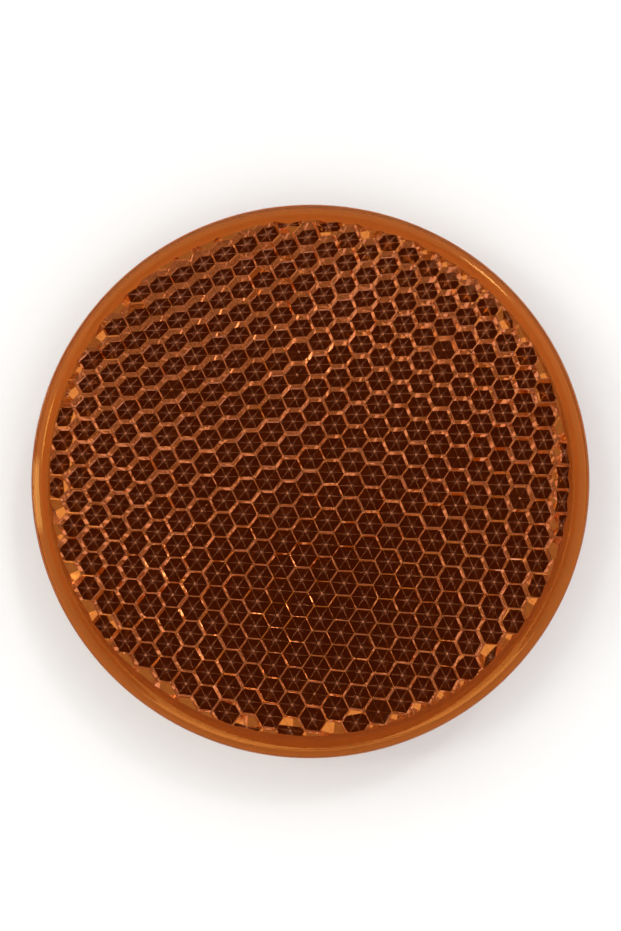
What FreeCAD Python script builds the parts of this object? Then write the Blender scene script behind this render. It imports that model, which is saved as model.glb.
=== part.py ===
"""Round stick-on reflector: an amber acrylic lens with cube-corner pins, its back plate and a foam pad.

The part lies on its adhesive face at z = 0, with the lens looking along +Z.
"""
import FreeCAD, Part
import math
import os
import random

# Driving dimensions, in millimetres
lens_diameter = 60.0
edge_radius = 0.5        # rounded outer edge of the front
bevel_width = 0.9        # shallow bevel between the rounded edge and the flat front
bevel_angle = 20.0       # in degrees, down from the flat front
back_chamfer = 0.25      # bevel on the back edge of the lens skirt
skirt_wall = 1.0         # outer wall beside the back plate
ledge_width = 0.75       # seat inside the skirt that the back plate is welded to
face_thickness = 2.0     # solid acrylic over the pin field
field_shift_x = -0.15    # centre of the round pin field, from the lens axis
field_shift_y = 0.35
pin_pitch = 2.65         # one hexagonal pin, across its flats
bundle_shift = 0.2       # along X, middle of the pin bundle from the centre of the field
pin_scatter = 0.2        # height from the lowest to the highest pin tip
pin_seed = 11            # picks which pins of the bundle stand low or high
tip_clearance = 0.5      # sealed air between the lowest pin tip and the back plate
plate_thickness = 1.2
plate_clearance = 0.1    # radial gap between the back plate and the skirt
plate_chamfer = 0.3      # lead-in on the back plate's front edge
pad_thickness = 1.0
pad_margin = 1.0         # the foam pad stops short of the back plate's edge

# A pin ends in the corner of a cube: three square faces that meet at right angles in its tip.
# Three corners of its hexagon lie one rise above the tip, and the three between them lie two rises above it.
corner_reach = pin_pitch / math.sqrt(3)
corner_rise = corner_reach / math.sqrt(2)

# Radii and levels that follow from the driving dimensions
lens_radius = lens_diameter / 2
recess_radius = lens_radius - skirt_wall
field_radius = recess_radius - ledge_width
plate_radius = recess_radius - plate_clearance
pad_radius = plate_radius - pad_margin
seat_level = pad_thickness + plate_thickness
lowest_tip = seat_level + tip_clearance
front_level = lowest_tip + pin_scatter + 2 * corner_rise + face_thickness


def turned(points, arc=None):
    """Solid of revolution from points (radius, z).

    arc = (index, middle point) makes the run after that point an arc through the middle point.
    """
    places = [FreeCAD.Vector(radius, 0, z) for radius, z in points]
    edges = []
    for index, start in enumerate(places):
        end = places[(index + 1) % len(places)]
        if arc and arc[0] == index:
            middle = FreeCAD.Vector(arc[1][0], 0, arc[1][1])
            edges.append(Part.Arc(start, middle, end).toShape())
        else:
            edges.append(Part.LineSegment(start, end).toShape())
    profile = Part.Face(Part.Wire(edges))
    return profile.revolve(FreeCAD.Vector(0, 0, 0), FreeCAD.Vector(0, 0, 1), 360)


def pin_tips():
    """Tip of every pin that reaches into the round field, by (column, row) of the hexagonal bundle.

    The middle of the bundle is the middle of the flat between two pins of the centre column.
    """
    heights = random.Random(pin_seed)
    column_pitch = pin_pitch * math.sqrt(3) / 2
    reach = field_radius + corner_reach
    columns = math.ceil((reach + abs(bundle_shift)) / column_pitch)
    rows = math.ceil(reach / pin_pitch) + 1
    tips = {}
    for column in range(-columns, columns + 1):
        for row in range(-rows, rows + 1):
            x = bundle_shift + column * column_pitch
            y = (row + 0.5 + 0.5 * (column % 2)) * pin_pitch
            if math.hypot(x, y) < reach:
                z = lowest_tip + pin_scatter * heights.choice((0, 1))
                tips[column, row] = FreeCAD.Vector(field_shift_x + x, field_shift_y + y, z)
    return tips


def neighbour(column, row, side):
    """The pin across a flat, counting the flats from 30 degrees in steps of 60 degrees."""
    odd = column % 2
    steps = [(1, odd), (0, 1), (-1, odd), (-1, odd - 1), (0, -1), (1, odd - 1)]
    return column + steps[side][0], row + steps[side][1]


def corner(tip, number):
    """Corner of a pin's hexagon, on the cube faces that rise from its tip."""
    angle = math.radians(60 * number)
    rise = corner_rise * (1 + number % 2)
    return tip + FreeCAD.Vector(corner_reach * math.cos(angle), corner_reach * math.sin(angle), rise)


def plan_key(point):
    return round(point.x, 4), round(point.y, 4)


def polygon(points):
    return Part.Face(Part.makePolygon(points + points[:1]))


def air_under_pins(floor_level):
    """The space under the pins: its top is the pins' moulded surface, and its floor is flat."""
    tips = pin_tips()
    levels = {}
    for tip in tips.values():
        for number in range(6):
            point = corner(tip, number)
            levels.setdefault(plan_key(point), set()).add(point.z)

    def at_level(point, z):
        return FreeCAD.Vector(point.x, point.y, z)

    def between(point, low, high):
        """Corners of other pins on the upright line through a point."""
        heights = [z for z in levels[plan_key(point)] if low < z < high]
        return [at_level(point, z) for z in sorted(heights)]

    faces = []
    for (column, row), tip in tips.items():
        corners = [corner(tip, number) for number in range(6)]
        for number in (0, 2, 4):
            faces.append(polygon([tip, corners[number], corners[number + 1], corners[(number + 2) % 6]]))
        faces.append(polygon([at_level(point, floor_level) for point in corners]))
        for side in range(6):
            first, last = corners[side], corners[(side + 1) % 6]
            beside = tips.get(neighbour(column, row, side))
            if beside is None:
                low_first, low_last = at_level(first, floor_level), at_level(last, floor_level)
            elif beside.z < tip.z:
                drop = FreeCAD.Vector(0, 0, tip.z - beside.z)
                low_first, low_last = first - drop, last - drop
            else:
                continue
            up_first = between(first, low_first.z, first.z)
            up_last = between(last, low_last.z, last.z)
            faces.append(polygon([first, last] + up_last[::-1] + [low_last, low_first] + up_first))
    shell = Part.makeShell(faces)
    shell.sewShape()
    solid = Part.makeSolid(shell)
    if solid.Volume < 0:
        solid.reverse()
    return solid


def make_lens():
    """Amber cup moulded in one piece: flat face, bevelled edge, skirt, welding ledge and pin field."""
    bevel = math.radians(bevel_angle)
    edge_level = front_level - bevel_width * math.tan(bevel) - edge_radius * math.cos(bevel)

    def on_edge(angle):
        return lens_radius - edge_radius + edge_radius * math.cos(angle), edge_level + edge_radius * math.sin(angle)

    bevel_foot = on_edge(math.pi / 2 - bevel)
    body = turned(
        [
            (0, front_level),
            (0, seat_level),
            (recess_radius, seat_level),
            (recess_radius, pad_thickness),
            (lens_radius - back_chamfer, pad_thickness),
            (lens_radius, pad_thickness + back_chamfer),
            (lens_radius, edge_level),
            bevel_foot,
            (bevel_foot[0] - bevel_width, front_level),
        ],
        arc=(6, on_edge(math.pi / 4 - bevel / 2)),
    )
    floor_level = seat_level - plate_thickness / 2
    drum = Part.makeCylinder(field_radius, front_level, FreeCAD.Vector(field_shift_x, field_shift_y, 0))
    return body.cut(air_under_pins(floor_level).common(drum))


def make_back_plate():
    """Plain moulded disc, welded to the ledge inside the skirt, that keeps the air behind the pins dry."""
    return turned(
        [
            (0, seat_level),
            (0, pad_thickness),
            (plate_radius, pad_thickness),
            (plate_radius, seat_level - plate_chamfer),
            (plate_radius - plate_chamfer, seat_level),
        ]
    )


def make_adhesive_pad():
    """Die-cut disc of double-sided foam tape on the back plate."""
    return Part.makeCylinder(pad_radius, pad_thickness)


os.makedirs("parts", exist_ok=True)
make_lens().exportStep("parts/lens.step")
make_back_plate().exportStep("parts/back_plate.step")
make_adhesive_pad().exportStep("parts/adhesive_pad.step")
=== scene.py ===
import math
import random

import bmesh
import bpy
from mathutils import Matrix, Vector


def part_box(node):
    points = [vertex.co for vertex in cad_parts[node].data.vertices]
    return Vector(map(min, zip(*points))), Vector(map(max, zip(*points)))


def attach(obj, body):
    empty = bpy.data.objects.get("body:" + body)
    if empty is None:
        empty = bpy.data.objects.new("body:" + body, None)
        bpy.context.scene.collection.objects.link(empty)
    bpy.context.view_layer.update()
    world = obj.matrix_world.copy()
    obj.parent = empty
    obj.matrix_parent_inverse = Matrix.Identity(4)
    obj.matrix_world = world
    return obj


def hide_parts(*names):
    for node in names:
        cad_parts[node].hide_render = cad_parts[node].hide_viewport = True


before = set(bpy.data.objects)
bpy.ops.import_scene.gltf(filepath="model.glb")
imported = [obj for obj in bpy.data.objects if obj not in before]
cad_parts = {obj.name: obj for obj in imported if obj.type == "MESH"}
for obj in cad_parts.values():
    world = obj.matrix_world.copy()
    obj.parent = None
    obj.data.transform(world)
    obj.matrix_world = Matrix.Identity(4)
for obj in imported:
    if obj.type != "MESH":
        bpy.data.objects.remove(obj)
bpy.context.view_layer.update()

scene = bpy.context.scene

# Lens: an amber acrylic cup, injection moulded in one piece, with hexagonal pins inside its flat face.
# Each pin ends in the corner of a cube and sends light back the way it came, so it shows the dark side of
# the viewer. Light that misses its three faces goes on to the back plate and shows as an orange band.
MM = 0.001                       # sizes are in millimetres, and this makes them metres
lens_low, lens_high = (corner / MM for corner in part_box("lens"))
plate_low, plate_high = (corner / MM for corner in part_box("back_plate"))
lens_radius = (lens_high.x - lens_low.x) / 2
edge_radius = 0.5                # rounded outer edge of the front
bevel_width = 0.9                # shallow bevel between the rounded edge and the flat front
bevel_angle = 20                 # in degrees, down from the flat front
turning_mark = 0.006             # depth of the rings that the lathe left in the mould of the bevel
crease_radius = 2.0              # rounding between the bevel and the flat front
crease_margin = 0.04             # narrow ring around the flat front, which keeps its shading flat
back_chamfer = 0.25
skirt_wall = 1.0                 # outer wall beside the back plate
ledge_width = 0.75               # seat of the back plate, inside the skirt
recess_radius = lens_radius - skirt_wall
field_radius = recess_radius - ledge_width
field_centre = Vector((-0.15, 0.35, 0))
plate_chamfer = 0.3
weld_depth = 0.05                # the ledge is melted this far into the back plate
bead_overlap = 0.02              # the melted bead reaches this far past the back plate's chamfer
edge_steps = 9
bevel_steps = 8
crease_steps = 5

# Finishes of the lens, in the order of its materials
SKIN, SKIRT, LEDGE, PIN, EDGE, LAND, DULL, WALL, WORN = range(9)


def at_angle(radius, degrees, z=0.0):
    return Vector((radius * math.cos(math.radians(degrees)), radius * math.sin(math.radians(degrees)), z))


def placed(name, points, faces):
    """A new object in the scene, with a mesh of these points and faces."""
    mesh = bpy.data.meshes.new(name)
    mesh.from_pydata(points, [], faces)
    piece = bpy.data.objects.new(name, mesh)
    scene.collection.objects.link(piece)
    return piece


def closed(mesh, join_distance=0.002):
    """Joins points that coincide and turns every face of a closed mesh outward."""
    shape = bmesh.new()
    shape.from_mesh(mesh)
    bmesh.ops.remove_doubles(shape, verts=shape.verts, dist=join_distance)
    bmesh.ops.recalc_face_normals(shape, faces=shape.faces)
    shape.to_mesh(mesh)
    shape.free()


def turned(name, profile, slots, centre=Vector((0, 0, 0)), steps=360):
    """Solid turned from points (radius, z), with a disc at its start and at its end.

    There is a material slot for the first disc, for each run between two points and for the last disc.
    """
    points = []
    for radius, z in profile:
        points += [centre + at_angle(radius, 360 * step / steps, z) for step in range(steps)]
    faces = [range(steps)]
    for ring in range(0, len(points) - steps, steps):
        for step in range(steps):
            after = (step + 1) % steps
            faces.append([ring + step, ring + after, ring + steps + after, ring + steps + step])
    faces.append(range(len(points) - steps, len(points)))
    piece = placed(name, points, faces)
    for number, polygon in enumerate(piece.data.polygons):
        polygon.material_index = slots[(number + steps - 1) // steps]
    closed(piece.data)
    return piece


# Lens body: ledge with its melted bead, recess, back edge, upright wall, rounded edge, bevel and flat front
bead_radius = plate_high.x - plate_chamfer - bead_overlap
bead_level = plate_high.z - weld_depth
bevel_drop = bevel_width * math.tan(math.radians(bevel_angle))
edge_level = lens_high.z - bevel_drop - edge_radius * math.cos(math.radians(bevel_angle))
profile = [
    (bead_radius, bead_level),
    (recess_radius, bead_level - (recess_radius - bead_radius)),
    (recess_radius, lens_low.z),
    (lens_radius - back_chamfer, lens_low.z),
    (lens_radius, lens_low.z + back_chamfer),
]
edge_centre = Vector((lens_radius - edge_radius, edge_level))
for step in range(edge_steps + 1):
    profile.append(edge_centre + at_angle(edge_radius, (90 - bevel_angle) * step / edge_steps).xy)
bevel_foot = profile[-1]
crease_reach = crease_radius * math.tan(math.radians(bevel_angle / 2))
crease_centre = Vector((bevel_foot.x - bevel_width - crease_reach, lens_high.z - crease_radius))
bevel_end = crease_centre + at_angle(crease_radius, 90 - bevel_angle).xy
for step in range(1, bevel_steps):
    mark = Vector((0, turning_mark * (step % 2)))
    profile.append(bevel_foot.lerp(bevel_end, step / bevel_steps) - mark)
for step in range(crease_steps + 1):
    turn = bevel_angle * (1 - step / crease_steps)
    profile.append(crease_centre + at_angle(crease_radius, 90 - turn).xy)
profile.append((crease_centre.x - crease_margin, lens_high.z))
body_slots = [LEDGE, LEDGE, LEDGE, SKIRT, SKIRT, WALL]
body_slots += [SKIN] * (len(profile) + 1 - len(body_slots))
lens = turned("amber_lens", profile, body_slots)

# Pins of the lens: a bundle of hexagonal steel pins formed them, each ground to the corner of a cube, at one
# of two heights. The mould is a little worn, so edges and tips are blunt and some pins are dull.
pin_pitch = 2.65                 # one hexagonal pin, across its flats
bundle_shift = 0.2               # along X, middle of the pin bundle from the centre of the field
pin_scatter = 0.2                # between the tips of low pins and of high pins
pin_seed = 11                    # picks the pins that stand low or high
tip_clearance = 0.5              # sealed air between the lowest tips and the back plate
lowest_tip = plate_high.z + tip_clearance
corner_reach = pin_pitch / math.sqrt(3)
corner_rise = corner_reach / math.sqrt(2)
face_slope = math.sqrt(2)        # rise straight up a cube face
edge_slope = math.sqrt(0.5)      # rise along a cube edge
cross_slope = math.sqrt(1.5)     # rise of a cube face at right angles to its edge
step_land = 0.065                # half width of the flat where pins of two heights meet
level_land = 0.01                # half width of the flat where pins of one height meet
edge_flat = 0.012                # half width of the flat along a cube edge
tip_flat = 0.1                   # height that is missing from a blunt tip
worn_width = 0.2                 # half width, at the tip, of the worn strips along a cube edge
worn_length = 0.75 * corner_reach    # distance from the tip at which the worn strips end
worn_lean = 0.03                 # lean of a worn strip, as a share of the way from its cube face to the flat
dull_pins = {(6, 5), (7, 0), (10, -1), (1, -10), (4, -10), (-1, 4), (-1, 3), (-7, 2)}    # column and row


def pin_tips():
    """Tip of every pin that reaches into the round field, by (column, row) of the hexagonal bundle.

    The middle of the bundle is the middle of the flat between two pins of the centre column.
    """
    heights = random.Random(pin_seed)
    column_pitch = pin_pitch * math.sqrt(3) / 2
    reach = field_radius + corner_reach
    columns = math.ceil((reach + abs(bundle_shift)) / column_pitch)
    rows = math.ceil(reach / pin_pitch) + 1
    tips = {}
    for column in range(-columns, columns + 1):
        for row in range(-rows, rows + 1):
            x = bundle_shift + column * column_pitch
            y = (row + 0.5 + 0.5 * (column % 2)) * pin_pitch
            if math.hypot(x, y) < reach:
                z = lowest_tip + pin_scatter * heights.choice((0, 1))
                tips[column, row] = field_centre + Vector((x, y, z))
    return tips


def neighbour(column, row, side):
    """The pin across a flat, counting the flats from 30 degrees in steps of 60 degrees."""
    odd = column % 2
    steps = [(1, odd), (0, 1), (-1, odd), (-1, odd - 1), (0, -1), (1, odd - 1)]
    return column + steps[side][0], row + steps[side][1]


def clipped(polygon, upper, lower, touch=1e-7):
    """Part of a polygon of points (x, y) in which one plane (slope x, slope y, level) isn't below another."""
    a, b, c = (high - low for high, low in zip(upper, lower))
    result = []
    for index, (x, y) in enumerate(polygon):
        last_x, last_y = polygon[index - 1]
        here = a * x + b * y + c
        before = a * last_x + b * last_y + c
        if here * before < 0 and min(abs(here), abs(before)) > touch:
            share = before / (before - here)
            result.append((last_x + share * (x - last_x), last_y + share * (y - last_y)))
        if here > -touch:
            result.append((x, y))
    return result


def pin_planes():
    """Planes (slope x, slope y, level) around a pin's tip, each with its slot.

    They are the cube's faces, a flat and two worn strips along each of its edges, and a flat over its tip.
    """
    planes = [(PIN, (*at_angle(face_slope, 60 * n).xy, 0)) for n in (1, 3, 5)]
    rise = worn_lean * worn_width * cross_slope
    for n in (0, 2, 4):
        along = at_angle(edge_slope, 60 * n)
        planes.append((EDGE, (*along.xy, edge_flat * cross_slope)))
        taper = at_angle(rise / worn_length, 60 * n)
        for turn in (90, -90):
            slope = along + at_angle((1 - worn_lean) * cross_slope, 60 * n + turn) - taper
            planes.append((WORN, (*slope.xy, rise)))
    planes.append((EDGE, (0, 0, tip_flat)))
    return planes


def pin_regions(lands):
    """Regions of a pin's end as (slot, plane, points (x, y)), for the half widths of its six lands.

    Every plane around the tip cuts the pin shorter, so the highest one counts. The lands fill the grooves
    between pins, so a land counts where it is lower than those planes.
    """
    hexagon = [tuple(at_angle(corner_reach, 60 * n).xy) for n in range(6)]
    ends = pin_planes()
    sides = []
    for n, width in enumerate(lands):
        # A land rises along its flat to the higher corner; its middle is one and a half rises over the tip.
        slope = at_angle(edge_slope, 120 + 60 * n - 180 * (n % 2))
        level = 1.5 * corner_rise - width * cross_slope
        sides.append((LAND if width == step_land else EDGE, (*slope.xy, level)))
    regions = []
    for low in (0, 2, 4):
        # A third of the hexagon lies around each low corner. Each half of it has its own land and, beyond its
        # high corner, the next one.
        third = [(0, 0), hexagon[low - 1], hexagon[low], hexagon[low + 1]]
        for own, across, beyond in ((low, low - 1, low + 1), (low - 1, low, low - 2)):
            sector = clipped(third, sides[own][1], sides[across][1])
            near = [sides[own], sides[beyond]]
            for slot, plane in ends:
                part = sector
                for _, other in ends:
                    part = clipped(part, plane, other)
                middle = part
                for _, side in near:
                    middle = clipped(middle, side, plane)
                regions.append((slot, plane, middle))
                for side_slot, side in near:
                    strip = clipped(part, plane, side)
                    for _, other in near:
                        strip = clipped(strip, other, side)
                    regions.append((side_slot, side, strip))
    return regions


def pin_end(lands, same_point=1e-4, on_line=2e-4, least_area=1e-5):
    """End of a pin around its tip, for the half widths of its six lands.

    Returns its faces as (slot, points) and its outline as six rows of points from corner to corner.
    """
    corners = []
    polygons = []
    for slot, plane, part in pin_regions(lands):
        numbers = []
        for x, y in part:
            point = Vector((x, y, plane[0] * x + plane[1] * y + plane[2]))
            known = (n for n, other in enumerate(corners) if (other - point).length < same_point)
            number = next(known, len(corners))
            if number == len(corners):
                corners.append(point)
            if number not in numbers:
                numbers.append(number)
        around = [corners[number].xy for number in numbers]
        if sum(around[index - 1].cross(point) for index, point in enumerate(around)) > least_area:
            polygons.append((slot, numbers))

    def between(start, end):
        """Corners that lie on the straight run between two others, in order."""
        run = corners[end] - corners[start]
        found = []
        for number, point in enumerate(corners):
            share = (point - corners[start]).dot(run) / run.length_squared
            if 0.0 < share < 1.0 and number not in (start, end):
                if (corners[start] + run * share - point).length < on_line:
                    found.append((share, number))
        return [number for share, number in sorted(found)]

    faces = []
    for slot, numbers in polygons:
        ring = []
        for index, number in enumerate(numbers):
            ring += [number] + between(number, numbers[(index + 1) % len(numbers)])
        faces.append((slot, [corners[number] for number in ring]))
    outline = []
    for n in range(6):
        out = at_angle(1, 30 + 60 * n)
        along = at_angle(1, 120 + 60 * n)
        row = [point for point in corners if abs(point.dot(out) - pin_pitch / 2) < same_point]
        outline.append(sorted(row, key=along.dot))
    return faces, outline


def air_under_pins(floor_level, same_level=0.003):
    """The space under the pins as a closed solid: its top is the pins' surface, and its floor is flat."""
    tips = pin_tips()
    kinds = {}
    ends = {}
    for (column, row), tip in tips.items():
        lands = []
        for side in range(6):
            beside = tips.get(neighbour(column, row, side))
            same_height = beside is not None and abs(beside.z - tip.z) < pin_scatter / 2
            lands.append(level_land if same_height else step_land)
        kind = tuple(lands)
        if kind not in kinds:
            kinds[kind] = pin_end(kind)
        ends[column, row] = kinds[kind]
    start = next(iter(tips.values()))
    levels = {}

    def upright(point):
        """Number of the upright line through a corner, counted in half reaches and half pitches."""
        return round(2 * (point.x - start.x) / corner_reach), round(2 * (point.y - start.y) / pin_pitch)

    def between(low, high):
        """Corners of other pins on the upright line between two points, from the lowest up."""
        heights = sorted(levels[upright(high)])
        inside = [z for z in heights if low.z + same_level < z < high.z - same_level]
        return [Vector((high.x, high.y, z)) for z in inside]

    def on_floor(point):
        return Vector((point.x, point.y, floor_level))

    for place, tip in tips.items():
        for side in ends[place][1]:
            levels.setdefault(upright(tip + side[0]), set()).add(tip.z + side[0].z)
    faces = []
    for (column, row), tip in tips.items():
        end, outline = ends[column, row]
        for slot, points in end:
            dull = slot in (PIN, WORN) and (column, row) in dull_pins
            faces.append((DULL if dull else slot, [tip + point for point in points]))
        faces.append((PIN, [on_floor(tip + side[0]) for side in outline]))
        for side in range(6):
            top = [tip + point for point in outline[side]]
            place = neighbour(column, row, side)
            if place not in tips:
                foot = [on_floor(top[0]), on_floor(top[-1])]
            elif tips[place].z < tip.z - pin_scatter / 2:
                foot = [tips[place] + point for point in ends[place][1][(side + 3) % 6][::-1]]
            else:
                continue
            down = between(foot[-1], top[-1])[::-1]
            up = between(foot[0], top[0])
            faces.append((LAND, top + down + foot[::-1] + up))
    points = []
    rings = []
    for _, ring in faces:
        rings.append(range(len(points), len(points) + len(ring)))
        points += ring
    air = placed("air", points, rings)
    for polygon, (slot, _) in zip(air.data.polygons, faces):
        polygon.material_index = slot
    closed(air.data)
    return air


air = air_under_pins((plate_low.z + plate_high.z) / 2)
drum = turned("drum", [(field_radius, 0), (field_radius, lens_high.z)], [PIN, WALL, PIN], field_centre)


def linear(colour):
    """sRGB hex to linear colour."""
    parts = [int(colour[start:start + 2], 16) / 255 for start in (1, 3, 5)]
    return [part / 12.92 if part <= 0.04045 else ((part + 0.055) / 1.055) ** 2.4 for part in parts] + [1]


def add_node(tree, kind, sockets=(), **settings):
    """Adds a node with its settings; sockets gives inputs, by name or number, a value or what feeds them."""
    node = tree.nodes.new(kind)
    for setting, value in settings.items():
        setattr(node, setting, value)
    for key, value in dict(sockets).items():
        if isinstance(key, int):
            socket = node.inputs[key]
        else:
            socket = next(entry for entry in node.inputs if entry.name == key and entry.enabled)
        if isinstance(value, bpy.types.NodeSocket):
            tree.links.new(value, socket)
        else:
            socket.default_value = value
    return node


def new_material(name):
    material = bpy.data.materials.new(name)
    material.use_nodes = True
    material.node_tree.nodes.clear()
    return material


def amber_acrylic(finish, pale, deep, smooth, scuffed):
    """Moulded acrylic, clear and glossy, dyed in the mass.

    The dye stops all but red and yellow within the first millimetre, so the outer skin carries its colour,
    and a longer way through the plastic only deepens it. Flow marks shade the dye from pale to deep, and
    hairline scuffs, drawn wider than they are so that they show, dull the gloss.
    """
    flow_mark = 8 * MM
    scuff_length = 25 * MM
    scuff_width = 0.2 * MM
    scuff_turn = 0.7             # in radians
    crest_low = 0.66             # only the crests of the noise are scuffs
    crest_high = 0.74
    dye_density = 30.0           # per metre
    material = new_material("amber acrylic, " + finish)
    tree = material.node_tree
    place = add_node(tree, "ShaderNodeTexCoord").outputs["Object"]
    flow = add_node(tree, "ShaderNodeTexNoise", {"Vector": place, "Scale": 1 / flow_mark, "Detail": 2.0})
    dye = add_node(tree, "ShaderNodeMix", {
        "Factor": flow.outputs["Fac"], "A": linear(pale), "B": linear(deep),
    }, data_type="RGBA")
    stretch = add_node(tree, "ShaderNodeMapping", {
        "Vector": place, "Rotation": (0, 0, scuff_turn),
        "Scale": (1 / scuff_length, 1 / scuff_width, 1 / scuff_length),
    })
    scuffs = add_node(tree, "ShaderNodeTexNoise", {
        "Vector": stretch.outputs["Vector"], "Scale": 1.0, "Detail": 1.0,
    })
    gloss = add_node(tree, "ShaderNodeMapRange", {
        "Value": scuffs.outputs["Fac"], "From Min": crest_low, "From Max": crest_high,
        "To Min": smooth, "To Max": scuffed,
    })
    # Painted reflection colour: the Specular Tint turns every reflection warm gold, where clear acrylic
    # mirrors white.
    shader = add_node(tree, "ShaderNodeBsdfPrincipled", {
        "Base Color": dye.outputs[2], "Roughness": gloss.outputs["Result"], "IOR": 1.49,
        "Transmission Weight": 1.0, "Specular Tint": linear("#FFC860"),
    })
    depth = add_node(tree, "ShaderNodeVolumeAbsorption", {
        "Color": linear("#F3CB00"), "Density": dye_density,
    })
    add_node(tree, "ShaderNodeOutputMaterial", {
        "Surface": shader.outputs["BSDF"], "Volume": depth.outputs["Volume"],
    })
    return material


# The skin tints what comes in and goes out. Walls seen edge on look deepest: the skirt and upright walls are
# painted a deeper amber, painted shade on top of the depth of the plastic. Polished pins are mirrors. Edges,
# lands and worn strips are matt and catch light from all round, so they show as pale lines; edges and strips
# lean to green, because the skin reddens them on the way out.
materials = [
    amber_acrylic("outer skin", "#EE9F86", "#E7977A", 0.0, 0.2),
    # painted shade: a deeper amber on the back edge of the skirt
    amber_acrylic("back edge of the skirt", "#FF7618", "#FF6E10", 0.0, 0.2),
    amber_acrylic("welded ledge", "#F8B868", "#F4B060", 0.2, 0.3),
    amber_acrylic("polished pin", "#FFFFFF", "#FDF6EC", 0.0, 0.05),
    amber_acrylic("blunt edge", "#DCEC88", "#D4E47C", 0.3, 0.4),
    amber_acrylic("land between pins", "#FFFFFF", "#FFF6EE", 0.25, 0.35),
    amber_acrylic("dull pin", "#F0C070", "#ECB868", 0.06, 0.12),
    # painted shade: a darker, deeper amber that tones down the light on the upright walls
    amber_acrylic("upright wall", "#C86C1C", "#C06414", 0.05, 0.2),
    amber_acrylic("worn strip", "#DCE090", "#D4D884", 0.18, 0.22),
]
for piece in (lens, air, drum):
    for material in materials:
        piece.data.materials.append(material)


def carved(piece, operation, tool):
    """Applies one solid operation with a tool, which is then thrown away."""
    cut = piece.modifiers.new("carve", "BOOLEAN")
    cut.operation = operation
    cut.solver = "MANIFOLD"
    cut.object = tool
    result = bpy.data.meshes.new_from_object(piece.evaluated_get(bpy.context.evaluated_depsgraph_get()))
    piece.modifiers.clear()
    piece.data = result
    bpy.data.objects.remove(tool)


# The air under the pins is cut to the round field and then out of the body.
carved(air, "INTERSECT", drum)
carved(lens, "DIFFERENCE", air)
closed(lens.data)
sharp_angle = 25
lens.data.transform(Matrix.Scale(MM, 4))
lens.data.shade_smooth()
lens.data.set_sharp_from_angle(angle=math.radians(sharp_angle))
lens.data.name = lens.name
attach(lens, "root")
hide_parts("lens")

# Back plate: a plain disc of ivory ABS, moulded and then welded to the ledge inside the skirt.
# Its front is what the orange bands show, with a ring of amber from the melted ledge at its edge. It has the
# matt grain of a spark-eroded mould, drawn coarser than it is so that it shows.
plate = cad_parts["back_plate"]
grain_size = 0.25 * MM
grain_depth = 0.02 * MM
cloud_size = 12 * MM
weld_fade = 0.02                 # width of the soft edge of the amber ring
weld_centre = field_centre + Vector((0, 0, plate_high.z))
chamfer_foot = plate_high.z - plate_chamfer
plate_material = new_material("ABS, moulded matt")
tree = plate_material.node_tree
place = add_node(tree, "ShaderNodeTexCoord").outputs["Object"]
grain = add_node(tree, "ShaderNodeTexNoise", {"Vector": place, "Scale": 1 / grain_size, "Detail": 3.0})
cloud = add_node(tree, "ShaderNodeTexNoise", {"Vector": place, "Scale": 1 / cloud_size, "Detail": 2.0})
ivory = add_node(tree, "ShaderNodeMix", {
    "Factor": cloud.outputs["Fac"], "A": linear("#F8EAD2"), "B": linear("#F3E3C8"),
}, data_type="RGBA")
level = add_node(tree, "ShaderNodeSeparateXYZ", {"Vector": place}).outputs["Z"]
on_top = add_node(tree, "ShaderNodeMapRange", {
    "Value": level, "From Min": (chamfer_foot - weld_fade) * MM, "From Max": chamfer_foot * MM,
})
outward = add_node(tree, "ShaderNodeVectorMath", {0: place, 1: weld_centre * MM}, operation="DISTANCE")
in_weld = add_node(tree, "ShaderNodeMapRange", {
    "Value": outward.outputs["Value"],
    "From Min": field_radius * MM, "From Max": (field_radius + weld_fade) * MM,
    "To Max": on_top.outputs["Result"],
})
colour = add_node(tree, "ShaderNodeMix", {
    "Factor": in_weld.outputs["Result"], "A": ivory.outputs[2], "B": linear("#ECB468"),
}, data_type="RGBA")
gloss = add_node(tree, "ShaderNodeMapRange", {"Value": grain.outputs["Fac"], "To Min": 0.45, "To Max": 0.65})
relief = add_node(tree, "ShaderNodeBump", {
    "Height": grain.outputs["Fac"], "Strength": 0.3, "Distance": grain_depth,
})
shader = add_node(tree, "ShaderNodeBsdfPrincipled", {
    "Base Color": colour.outputs[2], "Roughness": gloss.outputs["Result"], "IOR": 1.54,
    "Normal": relief.outputs["Normal"],
})
add_node(tree, "ShaderNodeOutputMaterial", {"Surface": shader.outputs["BSDF"]})
plate.data.materials.clear()
plate.data.materials.append(plate_material)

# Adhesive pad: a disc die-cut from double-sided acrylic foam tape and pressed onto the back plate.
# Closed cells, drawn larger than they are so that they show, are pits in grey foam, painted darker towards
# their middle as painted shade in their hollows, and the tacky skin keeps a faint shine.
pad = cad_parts["adhesive_pad"]
cell_size = 0.35 * MM
pit_depth = 0.05 * MM
pit_floor = 0.05                 # radii of a pit's floor and rim, in cells
pit_rim = 0.45
pad_material = new_material("acrylic foam, tacky")
tree = pad_material.node_tree
place = add_node(tree, "ShaderNodeTexCoord").outputs["Object"]
cells = add_node(tree, "ShaderNodeTexVoronoi", {"Vector": place, "Scale": 1 / cell_size})
pits_and_shade = add_node(tree, "ShaderNodeMapRange", {
    "Value": cells.outputs["Distance"], "From Min": pit_floor, "From Max": pit_rim,
})
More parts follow.
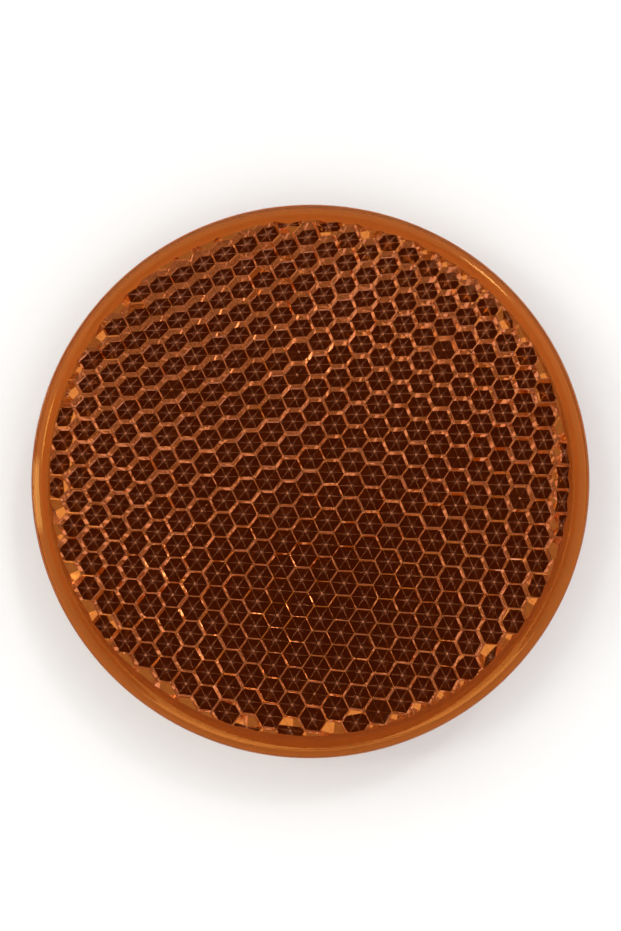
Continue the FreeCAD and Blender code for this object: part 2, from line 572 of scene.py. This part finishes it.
# painted shade: each pit is painted darker towards its middle
colour = add_node(tree, "ShaderNodeMix", {
    "Factor": pits_and_shade.outputs["Result"], "A": linear("#63635F"), "B": linear("#8C8B86"),
}, data_type="RGBA")
relief = add_node(tree, "ShaderNodeBump", {
    "Height": pits_and_shade.outputs["Result"], "Strength": 0.5, "Distance": pit_depth,
})
shader = add_node(tree, "ShaderNodeBsdfPrincipled", {
    "Base Color": colour.outputs[2], "Roughness": 0.6, "IOR": 1.47, "Normal": relief.outputs["Normal"],
})
add_node(tree, "ShaderNodeOutputMaterial", {"Surface": shader.outputs["BSDF"]})
pad.data.materials.clear()
pad.data.materials.append(pad_material)

# Floor: a sheet of white matt paper, so large that its edge is never in view.
# It is the picture's white background and takes the object's soft shadow.
floor_half = 3.0                 # in metres
fibre_size = 2 * MM
floor_corners = [(x * floor_half, y * floor_half, 0) for x, y in ((-1, -1), (1, -1), (1, 1), (-1, 1))]
floor = placed("floor", floor_corners, [range(4)])
floor_material = new_material("white paper, matt")
tree = floor_material.node_tree
place = add_node(tree, "ShaderNodeTexCoord").outputs["Object"]
fibres = add_node(tree, "ShaderNodeTexNoise", {"Vector": place, "Scale": 1 / fibre_size, "Detail": 4.0})
colour = add_node(tree, "ShaderNodeMix", {
    "Factor": fibres.outputs["Fac"], "A": linear("#FFFFFF"), "B": linear("#FCFCFC"),
}, data_type="RGBA")
shader = add_node(tree, "ShaderNodeBsdfDiffuse", {"Color": colour.outputs[2]})
add_node(tree, "ShaderNodeOutputMaterial", {"Surface": shader.outputs["BSDF"]})
floor.data.materials.append(floor_material)

# Light: an even white studio all round, with the dark brown shade of the camera side overhead, which the
# pins send back to the camera. Three warm lamps on the left give the bands their glints, and a white one at
# the upper right gives the rim its streak. Light turns many times inside the pins, so its paths are long.
scene.view_settings.view_transform = "Standard"
path_turns = 32
scene.cycles.max_bounces = path_turns
scene.cycles.glossy_bounces = path_turns
scene.cycles.transmission_bounces = path_turns
studio_level = 1.32
shade_colour = "#3F210A"
shade_start = 53                 # in degrees above the horizon
shade_full = 64
warm_white = "#FFF9E7"
lamp_blur = 1                    # in degrees, on either side of a lamp's edge
lamps = [
    # azimuth, elevation and half width in degrees, then strength and colour
    (164, 22, 6, 6.0, warm_white),
    (180, 36, 6, 7.5, warm_white),
    (163, 54, 4, 8.0, warm_white),
    (60, 43, 4, 18.0, "#FFFFFF"),
]
world = bpy.data.worlds.new("studio")
scene.world = world
world.use_nodes = True
tree = world.node_tree
tree.nodes.clear()
ray = add_node(tree, "ShaderNodeTexCoord").outputs["Generated"]
upward = add_node(tree, "ShaderNodeSeparateXYZ", {"Vector": ray}).outputs["Z"]
shade = add_node(tree, "ShaderNodeMapRange", {
    "Value": upward,
    "From Min": math.sin(math.radians(shade_start)), "From Max": math.sin(math.radians(shade_full)),
}, interpolation_type="SMOOTHSTEP")
light = add_node(tree, "ShaderNodeMix", {
    "Factor": shade.outputs["Result"], "A": [studio_level] * 3 + [1], "B": linear(shade_colour),
}, data_type="RGBA").outputs[2]
for azimuth, elevation, half_width, strength, colour in lamps:
    aim = at_angle(math.cos(math.radians(elevation)), azimuth, math.sin(math.radians(elevation)))
    nearness = add_node(tree, "ShaderNodeVectorMath", {0: ray, 1: aim}, operation="DOT_PRODUCT")
    inside = add_node(tree, "ShaderNodeMapRange", {
        "Value": nearness.outputs["Value"],
        "From Min": math.cos(math.radians(half_width + lamp_blur)),
        "From Max": math.cos(math.radians(half_width - lamp_blur)),
    })
    light = add_node(tree, "ShaderNodeMix", {
        "Factor": inside.outputs["Result"], "A": light, "B": [strength * part for part in linear(colour)],
    }, data_type="RGBA").outputs[2]
sky = add_node(tree, "ShaderNodeBackground", {"Color": light})
add_node(tree, "ShaderNodeOutputWorld", {"Surface": sky.outputs["Background"]})

# Camera: held close above the lens and a little below its middle, turned a few degrees as in the photo.
# It looks at a point of the flat front.
camera_place = Vector((3.244, -15.014, 118.173)) * MM
camera_target = Vector((0.119, 0.53, lens_high.z)) * MM
camera_roll = 4.431              # in degrees
camera_data = bpy.data.cameras.new("camera")
camera_data.lens = 40.6
camera_data.clip_start = 1 * MM
camera = bpy.data.objects.new("camera", camera_data)
scene.collection.objects.link(camera)
back = (camera_place - camera_target).normalized()
right = Vector((0, 1, 0)).cross(back).normalized()
upright = Matrix((right, back.cross(right), back)).transposed().to_4x4()
roll = Matrix.Rotation(math.radians(camera_roll), 4, "Z")
camera.matrix_world = Matrix.Translation(camera_place) @ upright @ roll
scene.camera = camera
